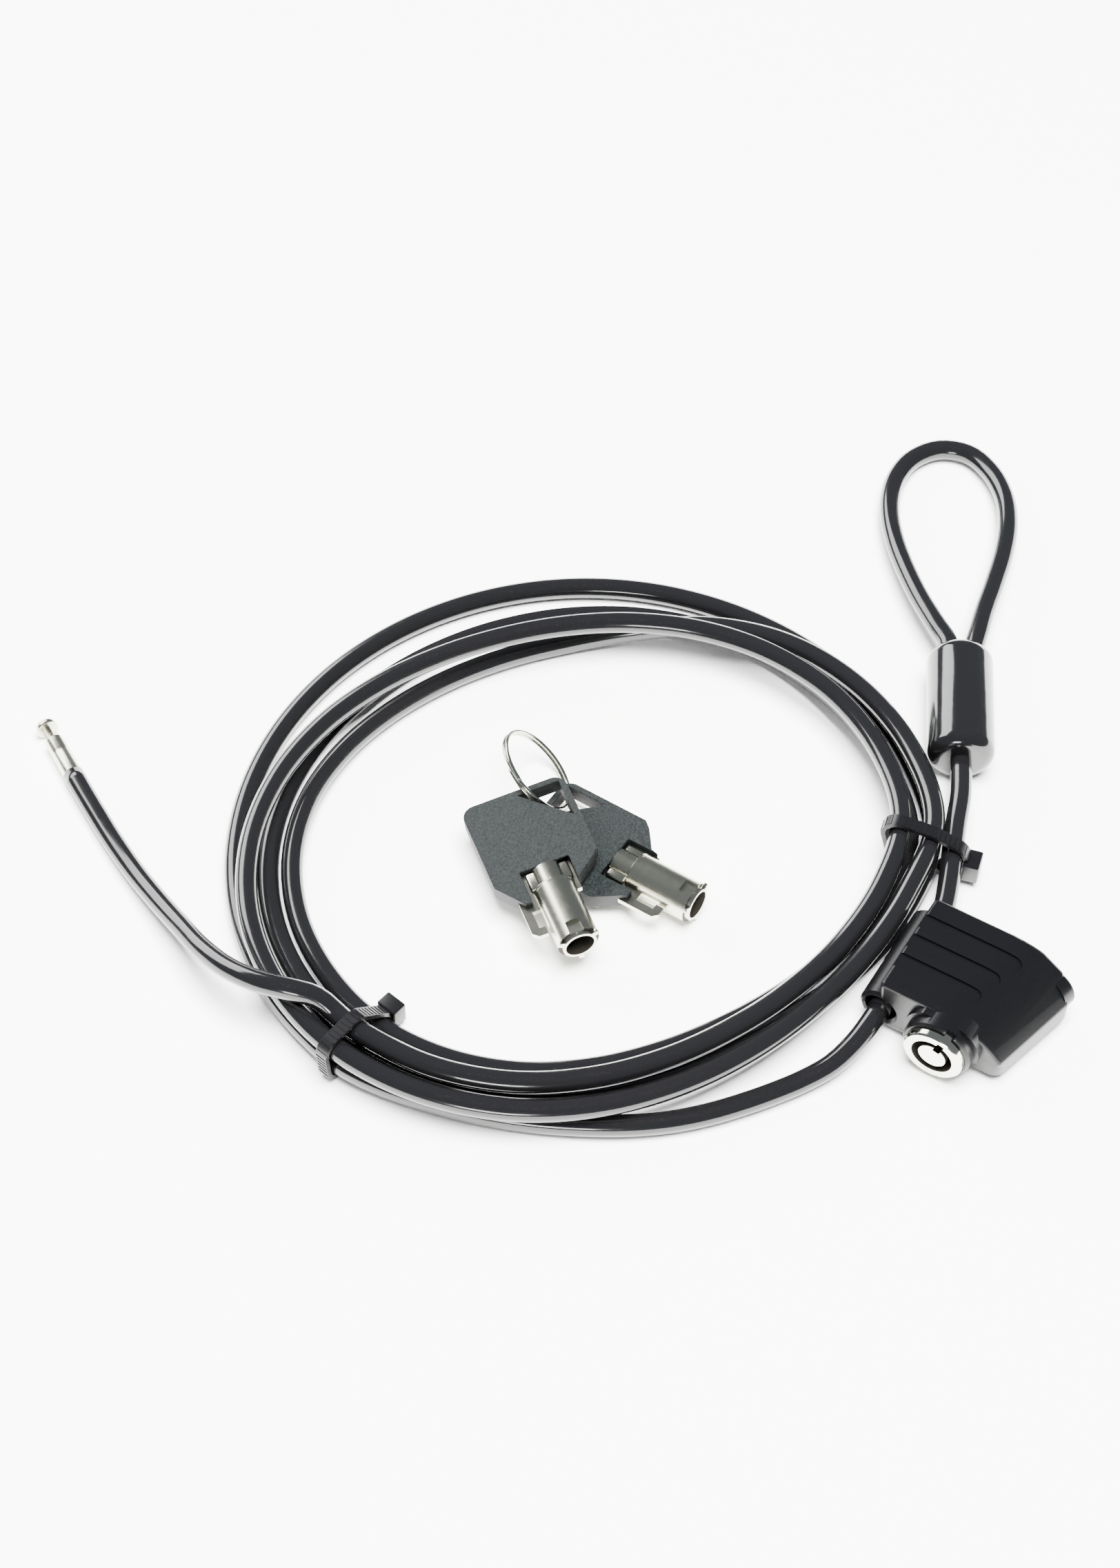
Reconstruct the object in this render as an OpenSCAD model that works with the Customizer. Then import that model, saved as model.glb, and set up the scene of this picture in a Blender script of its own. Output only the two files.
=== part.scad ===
// Laptop cable lock: a push-to-lock housing on a looped and coiled steel cable, with two tubular keys.
// Origin: on the base of the housing, under the lock's axis, in the middle of the housing's depth.
// +X runs from the cable passage to the plug socket, -Y is the key side, +Z is up. Millimetres.

/* [Housing] */
// Depth from the front face to the back face
case_depth = 21.5; // [20.5:0.5:24]
// Height of the flat part of the top
case_height = 13; // [12.6:0.2:15]
// Height of the parting plane between the shells
split_z = 5; // [4.6:0.1:5.4]
// Radius of the top's falling arc
nose_radius = 15.7; // [15.5:0.1:17]
// Distance from the lock's axis to the left wall
left_reach = 13.1; // [12:0.1:14]
// Distance from the lock's axis to the front end of the right wall
right_reach = 10.9; // [10.8:0.1:12]
// Distance from the lock's axis to where the falling arc starts, to its left
crest_reach = 3.1; // [2:0.1:5]
// Slant of the right wall, the arc and the socket from the depth direction, in degrees
nose_slant = 15; // [13:0.5:17]
// Depth of the rounding at the back right corner
corner_cut = 4.2; // [3.8:0.1:4.6]
// Rounding of the upper edges
edge_radius = 1; // [0.6:0.1:1.4]
// Rounding of the lower edges
foot_radius = 2.4; // [2:0.1:2.6]

/* [Grip grooves] */
// Width of one groove
groove_width = 3.1; // [2:0.1:3.6]
// Depth of one groove
groove_depth = 0.5; // [0.3:0.1:0.8]
// Distance from groove to groove
groove_pitch = 4.75; // [4:0.05:5]

/* [Cable] */
// Diameter of the jacketed cable
cable_diameter = 4; // [3.6:0.1:4.2]
// Diameter of the passage through the housing
passage_diameter = 6; // [5:0.1:6.4]
// Wall around the passage
passage_wall = 1; // [0.8:0.1:1.4]
// Distance from the lock's axis to the passage
passage_reach = 12.5; // [12.3:0.1:13]
// Height of the passage's axis
passage_z = 5.2; // [4.8:0.1:5.6]

/* [Lock] */
// Height of the lock's axis
axis_z = 6.4; // [6.4:0.1:6.8]
// Diameter of the cylinder
barrel_diameter = 11.2; // [10.6:0.1:11.4]
// How far the cylinder stands out of the housing when it is open
barrel_reach = 4.7; // [4:0.1:5]
// Travel of the cylinder when it is pushed in
push_travel = 3.5; // [2.5:0.1:3.6]
// Travel of the latch that the cylinder drives
latch_travel = 2; // [1.5:0.1:2]
// Outer diameter of the key's annular slot
keyway_diameter = 7.7; // [7:0.1:8]
// Diameter of the post inside the key's slot
post_diameter = 5.2; // [4.8:0.1:5.4]
// Depth of the key's slot
keyway_depth = 5; // [3:0.1:5]
// Width of the key's notch
notch_width = 1.3; // [1:0.1:1.6]
// Turn of the key's notch from the top, in degrees
notch_turn = 18; // [0:1:30]
// Diameter of one tumbler pin
tumbler_diameter = 1.1; // [0.8:0.1:1.1]
// Outer diameter of the collar in front of the housing
collar_diameter = 12.8; // [12.4:0.1:12.8]
// Length of the collar
collar_reach = 3.15; // [2:0.05:3.6]

/* [Socket and plug] */
// Distance from the lock's axis to the socket's mouth
socket_reach = 12.3; // [12:0.1:12.5]
// Height of the socket's axis
socket_z = 5.7; // [5.5:0.1:5.8]
// Diameter of the socket's bore
socket_bore = 4.3; // [4.3:0.1:4.4]
// Outer diameter of the socket's boss
boss_diameter = 7.4; // [7:0.1:7.6]
// Outer diameter of the socket inside the housing
socket_diameter = 5.1; // [5:0.1:5.3]
// Depth of the socket's bore
socket_depth = 7; // [6.6:0.1:7.2]
// How far the socket's mouth stays in front of the back face
socket_setback = 0.75; // [0.5:0.05:1]
// Diameter of the plug's head
plug_diameter = 4.2; // [3.8:0.1:4.2]
// Diameter of the plug's neck
neck_diameter = 1.4; // [1.2:0.1:1.6]
// Length of the plug
plug_length = 13.5; // [12:0.5:16]

/* [Ferrule] */
// Diameter of the dipped sleeve
ferrule_diameter = 12.6; // [11:0.1:13]
// Length of the dipped sleeve
ferrule_length = 25.5; // [22:0.5:28]
// Diameter of the crimp inside
crimp_diameter = 9; // [8:0.1:9.6]

/* [Keys] */
// Width of a key's bow
bow_width = 20; // [18:0.5:22]
// Thickness of a key's bow
bow_thickness = 3.2; // [3:0.1:4]
// Length of a key from the bow's end to the tip
key_length = 35; // [33:0.5:38]
// Length of a key's barrel past the bow
key_barrel = 13.2; // [12:0.1:14]
// Mean diameter of the split ring
ring_diameter = 16.7; // [16:0.1:17.4]
// Diameter of the split ring's wire
ring_wire = 0.7; // [0.6:0.1:1]

/* [Cable ties] */
// Width of a tie's strap
tie_width = 2.5; // [2:0.1:3.5]
// Thickness of a tie's strap
tie_thickness = 0.8; // [0.7:0.1:1]

/* [Hidden] */
$fn = 48;
form_fn = 32;

front = -case_depth / 2;
back = case_depth / 2;
cable_radius = cable_diameter / 2;
barrel_radius = barrel_diameter / 2;
running_gap = 0.05;
slide_gap = 0.1;
eps = 0.01;

// ---- shared geometry -------------------------------------------------------------------------

// Where the lines through p along d and through q along e meet
function meet(p, d, q, e) =
    let (w = q - p, s = (w[0] * e[1] - w[1] * e[0]) / (d[0] * e[1] - d[1] * e[0])) p + s * d;

slant_dir = [sin(nose_slant), cos(nose_slant)];
right_front = [right_reach, front];
right_back = right_front + (case_depth - corner_cut) / cos(nose_slant) * slant_dir;
corner_run = 7.6;
// Plan outline of the housing, against the clock: the corner between the right wall and the back has four points
outline = [[-left_reach, front], right_front, right_back,
           right_back + [-0.12 * corner_run, 0.54 * corner_cut], right_back + [-0.45 * corner_run, 0.88 * corner_cut],
           right_back + [-corner_run, corner_cut], [-left_reach, back]];

// Where the outline's sides meet when they are all drawn in by e
function plan(e) = let (n = len(outline)) [for (i = [0:n - 1])
    let (p = outline[i], before = p - outline[(i + n - 1) % n], after = outline[(i + 1) % n] - p,
         inward = e / norm(before) * [-before[1], before[0]], inner = e / norm(after) * [-after[1], after[0]])
    meet(p + inward, before, p + inner, after)];

// Distance of a plan point from the lock's axis, square to the slanted arc
function across(p) = (p[0] - (p[1] - front) * tan(nose_slant)) * cos(nose_slant);
crest = -crest_reach * cos(nose_slant);
function top_at(p) =
    let (run = max(0, across(p) - crest)) case_height - nose_radius + sqrt(pow(nose_radius, 2) - run * run);
function between(p, q, t) = p + (q - p) * t;

module along_y(from, to) {
    translate([0, from, 0]) rotate([-90, 0, 0]) linear_extrude(to - from) children();
}

module axis_cylinder(x, z, from, to, r) {
    translate([x, from, z]) rotate([-90, 0, 0]) cylinder(r = r, h = to - from);
}

// A turned piece on the Y axis: profile points are [radius, y]
module turned(x, z, profile) {
    translate([x, 0, z]) rotate([-90, 0, 0]) rotate_extrude() polygon(profile);
}

// ---- housing ---------------------------------------------------------------------------------

arc_steps = 8;
edge_corners = plan(edge_radius);
foot_corners = plan(foot_radius);
last = len(outline) - 1;

// The plan point at the same distance from the axis as p, square to the arc, and at depth y
function along_arc(p, y) = [p[0] + (y - p[1]) * tan(nose_slant), y];

crest_front = [crest / cos(nose_slant), front];
front_stations = [for (i = [0:arc_steps]) between(along_arc(crest_front, front + edge_radius), edge_corners[1], i / arc_steps)];
back_stations = [for (p = front_stations) let (q = along_arc(p, back - edge_radius)) if (q[0] < edge_corners[last - 1][0]) q];
top_points = concat(edge_corners, front_stations, back_stations);

module rounded_block() {
    hull() {
        for (p = top_points) {
            translate([p[0], p[1], top_at(p) - edge_radius]) sphere(r = edge_radius, $fn = form_fn / 2);
        }
        for (p = foot_corners) {
            translate([p[0], p[1], foot_radius]) sphere(r = foot_radius, $fn = form_fn / 2);
        }
    }
}

lobe_radius = passage_diameter / 2 + passage_wall;
lobe_round = 0.8;
lobe_profile = [[0, front], [lobe_radius - lobe_round, front], [lobe_radius, front + lobe_round],
                [lobe_radius, back - lobe_round], [lobe_radius - lobe_round, back], [0, back]];

collar_radius = collar_diameter / 2;
collar_front = front - collar_reach;
collar_chamfer = 0.4;
flare_reach = 1.2;
flare_step = 0.8;
flare_top = case_height - 0.6;
sunk = 2;
collar_profile = [[0, front + sunk], [collar_radius, front + sunk], [collar_radius, collar_front + collar_chamfer],
                  [collar_radius - collar_chamfer, collar_front], [0, collar_front]];
flare_profile = [[0, front + sunk], [collar_radius + flare_step, front + sunk],
                 [collar_radius + flare_step, front - flare_reach], [0, front - flare_reach]];

module inner_form() {
    reach = 60;
    crest_line = crest - front * sin(nose_slant);
    rotate([0, 0, -nose_slant]) {
        intersection() {
            along_y(-reach, reach) translate([crest_line, nose_radius - case_height]) circle(r = nose_radius, $fn = 96);
            translate([crest_line, -reach, 0]) cube([reach, 2 * reach, reach]);
        }
        translate([crest_line - reach, -reach, 0]) cube([reach + eps, 2 * reach, case_height]);
    }
}

groove_ends = [3.3, 4.6, 6.4];
groove_middle = 0.25;
module grooves() {
    difference() {
        for (i = [0:2]) {
            translate([0, groove_middle + (i - 1) * groove_pitch, 0]) {
                translate([groove_ends[i] - groove_width / 2, 0, split_z]) cylinder(d = groove_width, h = 20);
                translate([-30, -groove_width / 2, split_z]) {
                    cube([30 + groove_ends[i] - groove_width / 2, groove_width, 20]);
                }
            }
        }
        translate([0, 0, -groove_depth]) inner_form();
    }
}

module housing_form() {
    difference() {
        rounded_block();
        grooves();
    }
    turned(-passage_reach, passage_z, lobe_profile);
    turned(0, axis_z, collar_profile);
    intersection() {
        intersection() {
            turned(0, axis_z, flare_profile);
            translate([-case_depth / 2, -case_depth, 0]) cube([case_depth, case_depth, flare_top]);
        }
        translate([-20, front - 10, split_z]) cube([40, 20, 20]);
    }
}

bore_radius = barrel_radius + running_gap;
bore_end = -0.9;
rod_radius = 3.4;
chamber_start = 1.5;
chamber_wall = 0.85;
chamber_radius = rod_radius + 0.3;
mouth_radius = passage_diameter / 2 + 0.6;

socket_radius = socket_diameter / 2;
boss_radius = boss_diameter / 2;
socket_wall = 0.8;
socket_rear = -socket_depth - socket_wall;
boss_rear = -2.85;
socket_place = [socket_reach, back - socket_setback, socket_z];

// Puts a piece drawn along Y, with its mouth at 0 and its inside at negative Y, in the socket's place
module in_socket() {
    translate(socket_place) rotate([0, 0, -nose_slant]) children();
}

plug_tip = 1.5;
plug_neck = 2.4;
latch_thickness = 1.2;
latch_height = 4;
// Where the neck of a seated plug is
neck_place = socket_place - (socket_depth - plug_tip - plug_neck / 2) * [sin(nose_slant), cos(nose_slant), 0];
latch_y = neck_place[1];

module latch_channel(from, to, gap) {
    translate([from, latch_y - latch_thickness / 2 - gap, socket_z - latch_height / 2 - gap]) {
        cube([to - from, latch_thickness + 2 * gap, latch_height + 2 * gap]);
    }
}

screw_places = [[-7.6, -6.7], [-7.6, 6.7], [7.7, -6.2]];
screw_radius = 0.9;
screw_head_radius = 1.7;
screw_head = 1.3;
screw_recess = 2.4;
screw_top = split_z + 3.6;
screw_gap = 0.03;

module for_screws() {
    for (p = screw_places) translate([p[0], p[1], 0]) children();
}

module housing_cuts() {
    axis_cylinder(-passage_reach, passage_z, front - 1, back + 1, passage_diameter / 2);
    turned(-passage_reach, passage_z, [[0, front - eps], [mouth_radius, front - eps], [0, front + mouth_radius]]);
    turned(-passage_reach, passage_z, [[0, back + eps], [mouth_radius, back + eps], [0, back - mouth_radius]]);
    axis_cylinder(0, axis_z, collar_front - 1, bore_end, bore_radius);
    axis_cylinder(0, axis_z, bore_end - 1, chamber_start + 1, rod_radius + running_gap);
    axis_cylinder(0, axis_z, chamber_start, back - chamber_wall, chamber_radius);
    latch_channel(rod_radius - 1, neck_place[0], slide_gap);
    in_socket() {
        axis_cylinder(0, 0, socket_rear - running_gap, 2, socket_radius + running_gap);
        axis_cylinder(0, 0, boss_rear - running_gap, 2, boss_radius + running_gap);
    }
    for_screws() {
        translate([0, 0, -1]) cylinder(r = screw_head_radius + 0.15, h = screw_recess + 1);
        cylinder(r = screw_radius + screw_gap, h = screw_top);
    }
}

collar_notch = [1.8, 1, 2];
collar_notch_turn = 20;
module upper_shell() {
    color("#26282a") difference() {
        intersection() {
            housing_form();
            translate([-30, -30, split_z]) cube([60, 60, 30]);
        }
        housing_cuts();
        translate([0, 0, axis_z]) rotate([0, collar_notch_turn, 0]) {
            translate([-collar_notch[0] / 2, collar_front - eps, barrel_radius]) cube(collar_notch);
        }
    }
}

module lower_shell() {
    color("#26282a") difference() {
        intersection() {
            housing_form();
            translate([-30, -30, 0]) cube([60, 60, split_z]);
        }
        housing_cuts();
    }
}

module shell_screws() {
    color("#8b8e90") for_screws() {
        translate([0, 0, screw_recess - screw_head]) cylinder(r = screw_head_radius, h = screw_head);
        translate([0, 0, screw_recess - eps]) cylinder(r = screw_radius, h = screw_top - screw_recess);
    }
}

socket_chamfer = 0.4;
module plug_socket() {
    color("#1b1c1e") difference() {
        in_socket() difference() {
            turned(0, 0, [[0, socket_rear], [socket_radius, socket_rear], [socket_radius, boss_rear],
                          [boss_radius, boss_rear], [boss_radius, -socket_chamfer], [boss_radius - socket_chamfer, 0], [0, 0]]);
            axis_cylinder(0, 0, -socket_depth, 1, socket_bore / 2);
        }
        latch_channel(neck_place[0] - boss_radius - 1, neck_place[0], slide_gap);
    }
}

// ---- lock ------------------------------------------------------------------------------------

barrel_front = front - barrel_reach;
tip_half = 0.3;
pin_radius = rod_radius - latch_travel;
cone_end = latch_y - tip_half;
cone_start = cone_end - push_travel;
rod_end = cone_end + 0.8;
core_gap = 0.05;
core_length = 2.5;
core_wall = 0.75;
core_radius = keyway_diameter / 2 - core_gap;
core_front = barrel_front + keyway_depth;
core_rear = core_front + core_length;
barrel_rear = core_rear + core_wall;
face_chamfer = 0.35;
notch_inner = 1.7;
notch_outer = 4.5;
notch_sink = 0.4;
notch_land = 0.6;

module key_notch(from_r, to_r, depth) {
    translate([0, barrel_front - eps, axis_z]) rotate([0, notch_turn, 0]) {
        translate([-notch_width / 2, 0, from_r]) cube([notch_width, depth, to_r - from_r]);
    }
}

module lock_cylinder() {
    color("#d9d9cf") difference() {
        turned(0, axis_z, [[0, barrel_front], [barrel_radius - face_chamfer, barrel_front],
                           [barrel_radius, barrel_front + face_chamfer], [barrel_radius, barrel_rear],
                           [rod_radius, barrel_rear], [rod_radius, cone_start], [pin_radius, cone_end],
                           [pin_radius, rod_end], [0, rod_end]]);
        axis_cylinder(0, axis_z, barrel_front - 1, core_rear + eps, keyway_diameter / 2);
        key_notch(keyway_diameter / 2 - 1, notch_outer, keyway_depth);
    }
}

post_inset = 0.1;
module cylinder_core() {
    post_radius = post_diameter / 2;
    color("#c9c9bf") difference() {
        turned(0, axis_z, [[0, barrel_front + post_inset], [post_radius, barrel_front + post_inset],
                           [post_radius, core_front], [core_radius, core_front], [core_radius, core_rear], [0, core_rear]]);
        key_notch(notch_inner, core_radius - notch_land, keyway_depth + notch_sink);
    }
}

tumbler_count = 7;
tumbler_circle = (post_diameter + keyway_diameter) / 4;
tumbler_length = 1.6;
module tumbler_pins() {
    color("#b9a877") for (i = [0:tumbler_count - 1]) {
        translate([0, 0, axis_z]) rotate([0, notch_turn + (i + 0.5) * 360 / tumbler_count, 0]) {
            axis_cylinder(0, tumbler_circle, core_front - tumbler_length, core_front, tumbler_diameter / 2);
        }
    }
}

// A wire swept round a helix on the lock's axis
spring_wire = 0.8;
spring_radius = (rod_radius + barrel_radius) / 2;
spring_turns = 3;
spring_steps = 12;
spring_sides = 6;
module return_spring() {
    length = bore_end - barrel_rear - spring_wire;
    steps = spring_turns * spring_steps;
    path = [for (i = [0:steps]) let (a = 360 * i / spring_steps)
            [spring_radius * cos(a), barrel_rear + spring_wire / 2 + length * i / steps, axis_z + spring_radius * sin(a)]];
    color("#9fa3a6") swept(path, spring_wire / 2, spring_sides, [0, 1, 0]);
}

latch_body_start = rod_radius + 0.6;
latch_fork = 1.8;
fork_depth = 1.4;
tip_height = 1.2;
tip_gap = 0.2;
latch_end = neck_place[0] - socket_bore / 2 / cos(nose_slant) - slide_gap;
module latch_slide() {
    tip_x = pin_radius + tip_gap;
    color("#a9acae") difference() {
        union() {
            latch_channel(latch_body_start, latch_end, 0);
            translate([tip_x, latch_y - tip_half, socket_z - tip_height / 2]) {
                cube([latch_body_start - tip_x + eps, 2 * tip_half, tip_height]);
            }
        }
        translate([latch_end - fork_depth, latch_y - latch_thickness, socket_z - latch_fork / 2]) {
            cube([2, 2 * latch_thickness, latch_fork]);
        }
    }
}

// ---- cable -----------------------------------------------------------------------------------

function unit(v) = v / norm(v);

// Faces of a tube of n rings with the given sides, closed at both ends, all triangles
function tube_faces(n, sides) = concat(
    [for (k = [1:sides - 2]) [0, k + 1, k]],
    [for (i = [0:n - 2], k = [0:sides - 1]) let (a = i * sides + k, b = i * sides + (k + 1) % sides)
     [a, b, b + sides]],
    [for (i = [0:n - 2], k = [0:sides - 1]) let (a = i * sides + k, b = i * sides + (k + 1) % sides)
     [a, b + sides, a + sides]],
    [for (k = [1:sides - 2]) let (last = (n - 1) * sides) [last, last + k, last + k + 1]]);

// A tube swept along points that never run along up, with a flat side turned away from up
module swept(path, r, sides, up = [0, 0, 1], first = undef, last = undef) {
    n = len(path);
    turn = sides % 4 == 0 ? 180 / sides : 0;
    tan_at = [for (i = [0:n - 1]) i == 0 && first != undef ? first : i == n - 1 && last != undef ? last
              : unit(path[min(i + 1, n - 1)] - path[max(i - 1, 0)])];
    points = [for (i = [0:n - 1]) let (side = unit(cross(tan_at[i], up)), top = cross(side, tan_at[i]))
              for (k = [0:sides - 1]) let (a = 360 * k / sides + turn) path[i] + r * (cos(a) * side + sin(a) * top)];
    polyhedron(points = points, faces = tube_faces(n, sides), convexity = 6);
}

cable_sides = 8;
coil_sides = 6;
coil_middle = [-76.8, -6.2];
tie_right_angle = 33;
tie_left_angle = 259;
long_span = tie_left_angle - tie_right_angle;
short_span = 360 - long_span;
long_rings = 15;
short_rings = 9;

// Radius and height of each strand at the left tie, in the cable's own order
left_slots = [[62.1, 3.2], [56.7, 3.2], [52.1, 3.2], [62.4, 7.8], [57.4, 8.2]];
// Radius and height of each strand at the right tie, in the cable's own order
right_slots = [[65.3, 3.2], [60.7, 3.2], [65, 7.8], [59, 8.7]];
// Far arcs, left tie to right tie: sag, skew and sharpness of the sag, height between the ties, ramp
far_arcs = [[1.7, 0.9, 2.5, 2, 0, 0.28], [5, 0.94, 3, 2, 0, 0.28], [12.2, 1.12, 2.5, 2, 0.2, 0.4], [14, 1.05, 2.3, 5.5, 0.15, 1]];
// Near arcs, right tie to left tie
near_arcs = [[10.8, 0.8, 1.5, 2, 0, 0.28], [11, 0.77, 1.5, 2, 0, 0.28], [8.8, 0.7, 1.5, 6.7, 0, 0.28], [8.3, 0.8, 1.5, 7, 0, 0.28]];

function ease(x) = let (c = max(0, min(1, x))) c * c * (3 - 2 * c);
function strand_radius(s, from, to, arc) =
    from[0] + (to[0] - from[0]) * ease(s) - arc[0] * pow(sin(180 * pow(s, arc[1])), arc[2]);
function strand_height(s, from, to, arc) =
    arc[3] + (from[1] - arc[3]) * (1 - ease((s - arc[4]) / (arc[5] - arc[4])))
           + (to[1] - arc[3]) * (1 - ease((1 - s - arc[4]) / (arc[5] - arc[4])));
function on_coil(angle, r, z) = [coil_middle[0] + r * cos(angle), coil_middle[1] + r * sin(angle), z];
function half_loop(start, span, rings, from, to, arc) =
    [for (i = [0:rings - 1]) let (s = i / rings)
     on_coil(start - span * s, strand_radius(s, from, to, arc), strand_height(s, from, to, arc))];

coil_loops = len(right_slots);
coil_path = [for (i = [0:coil_loops - 1]) each concat(
                 half_loop(tie_left_angle, long_span, long_rings, left_slots[i], right_slots[i], far_arcs[i]),
                 half_loop(tie_right_angle, short_span, short_rings, right_slots[i], left_slots[i + 1], near_arcs[i])),
             on_coil(tie_left_angle, left_slots[coil_loops][0], left_slots[coil_loops][1])];

tie_right_at = 29.3;
tie_right_turn = -16;
tie_right_step = (tie_right_angle - tie_right_at) / short_span;
// Radius and height of the strands where the right tie holds them
tie_right_slots = [for (i = [0:coil_loops - 1])
                   [strand_radius(tie_right_step, right_slots[i], left_slots[i + 1], near_arcs[i]),
                    strand_height(tie_right_step, right_slots[i], left_slots[i + 1], near_arcs[i])]];
tie_heading = [sin(tie_left_angle), -cos(tie_left_angle), 0];
half_turn = 12;
coil_gap = min([for (i = [0:len(coil_path) - 1 - half_turn], j = [i + half_turn:len(coil_path) - 1])
                norm(coil_path[i] - coil_path[j])]) - cable_diameter;
echo(str("least gap between the coil's strands: ", coil_gap, " mm"));

// Routes of the stretches that lie free, point by point
lead_route = [[-12.5, -10.75, 5.2], [-12.5, -14.3, 5.1], [-13.2, -18.6, 3.9], [-14.8, -23.6, 2.7], [-17.6, -28.6, 2.1],
              [-20.8, -33.4, 2], [-24.4, -38.2, 2], [-28.4, -42.9, 2], [-33.2, -47.5, 2], [-39.4, -52.1, 2],
              [-46.8, -56.4, 2], [-54.8, -60.2, 2], [-63, -63.2, 2], [-71.2, -65.4, 2.2], [-78.4, -66.9, 2.7],
              [-84.5, -67.5, 3.2], [-88.65, -67.16, 3.2]];
tail_route = [[-87.75, -62.55, 8.2], [-91.65, -61.8, 8.4], [-95.6, -62, 10.8], [-99.8, -63.8, 12.3],
              [-105.4, -65.2, 12.2], [-112, -64.9, 10.8], [-119.2, -62.8, 8.8], [-126.6, -59.4, 6.4],
              [-134, -56, 4.4], [-141.6, -52.4, 2.9], [-149.8, -48.2, 2.2], [-157, -44.2, 2.1],
              [-161.9, -41.4, 2.1], [-165.3, -39.4, 2.1]];
link_route = [[-12.5, 10.75, 5.2], [-12.5, 13.9, 5.2], [-14.1, 19.2, 5.4], [-16.5, 25.4, 5.8], [-18.9, 31.6, 6.2],
              [-20.9, 37.3, 6.3], [-22.8, 41.4, 6.3], [-24.6, 44.9, 6.3]];
loop_route = [[-37.5, 65.9, 6.3], [-39.6, 69.2, 6.3], [-44, 72.6, 6], [-49.6, 77.2, 5.4], [-55.2, 82.6, 4.7],
              [-60.3, 88.2, 4.1], [-64.6, 94.2, 3.4], [-67.5, 100, 2.9], [-69, 106, 2.4], [-68.5, 112, 2.1],
              [-65.2, 117, 2], [-59.6, 118.8, 2.1], [-53.6, 116.4, 2.5], [-48, 111.2, 3], [-44, 104.5, 3.6],
              [-41.2, 96.8, 4.3], [-39, 88, 5.1], [-37.2, 79.8, 5.8], [-35.8, 74.6, 6.2], [-34.9, 71, 6.3],
              [-33.8, 67.8, 6.3]];

module cable_in_housing() {
    color("#1a1b1d") axis_cylinder(-passage_reach, passage_z, front, back, cable_radius);
}

module cable_lead() {
    color("#1a1b1d") swept(lead_route, cable_radius, cable_sides, last = tie_heading);
}

module cable_coil() {
    color("#1a1b1d") swept(coil_path, cable_radius, coil_sides, first = tie_heading, last = tie_heading);
}

module cable_tail() {
    color("#1a1b1d") swept(tail_route, cable_radius, cable_sides, first = tie_heading);
}

module cable_link() {
    color("#1a1b1d") swept(link_route, cable_radius, cable_sides);
}

module cable_loop() {
    color("#1a1b1d") swept(loop_route, cable_radius, cable_sides);
}

// ---- ferrule and plug ------------------------------------------------------------------------

function heading(route) = let (d = route[len(route) - 1] - route[len(route) - 2]) atan2(d[1], d[0]);

// Puts a piece that is drawn along +X from its own origin at a place, turned to a heading
module headed(place, heading, climb = 0, roll = 0) {
    translate(place) rotate([0, 0, heading]) rotate([0, -climb, 0]) rotate([roll, 0, 0]) children();
}

// A turned piece on the X axis: profile points are [radius, x]
module turned_x(profile) {
    rotate([0, 90, 0]) rotate_extrude() polygon(profile);
}

ferrule_place = link_route[len(link_route) - 1];
ferrule_heading = heading(link_route);
ferrule_round = 2.5;
round_steps = 6;
crimp_margin = 3.5;
ferrule_radius = ferrule_diameter / 2;
function quarter(r, x, from, to) =
    [for (i = [0:round_steps]) let (a = from + (to - from) * i / round_steps) [r + ferrule_round * cos(a), x + ferrule_round * sin(a)]];

module ferrule_sleeve() {
    inner = ferrule_radius - ferrule_round;
    profile = concat([[0, 0]], quarter(inner, ferrule_round, -90, 0),
                     quarter(inner, ferrule_length - ferrule_round, 0, 90), [[0, ferrule_length]]);
    color("#17181a") headed(ferrule_place, ferrule_heading) difference() {
        turned_x(profile);
        translate([crimp_margin - screw_gap, 0, 0]) rotate([0, 90, 0]) {
            cylinder(d = crimp_diameter + 2 * screw_gap, h = ferrule_length - 2 * crimp_margin + 2 * screw_gap);
        }
    }
}

module ferrule_crimp() {
    color("#a7aaad") headed(ferrule_place, ferrule_heading) translate([crimp_margin, 0, 0]) rotate([0, 90, 0]) {
        cylinder(d = crimp_diameter, h = ferrule_length - 2 * crimp_margin);
    }
}

plug_place = tail_route[len(tail_route) - 1];
plug_heading = heading(tail_route);
plug_crimp = 5.2;
plug_crimp_diameter = 3.7;
plug_step = 0.5;
plug_dome = 0.6;
module plug() {
    r = plug_diameter / 2;
    neck_end = plug_length - plug_tip;
    neck_start = neck_end - plug_neck;
    crimp_r = plug_crimp_diameter / 2;
    color("#d4d4ca") headed(plug_place, plug_heading) turned_x(
        [[0, 0], [crimp_r, 0], [crimp_r, plug_crimp], [r - 0.35, plug_crimp + plug_step], [r - 0.35, neck_start - plug_step],
         [neck_diameter / 2, neck_start], [neck_diameter / 2, neck_end], [r, neck_end], [r, plug_length - plug_dome],
         [r - plug_dome, plug_length], [0, plug_length]]);
}

// ---- cable ties ------------------------------------------------------------------------------

tie_gap = 0.35;
head_size = [3, 4.2, 4.6];
link_slot = [68, 5.8];

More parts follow.
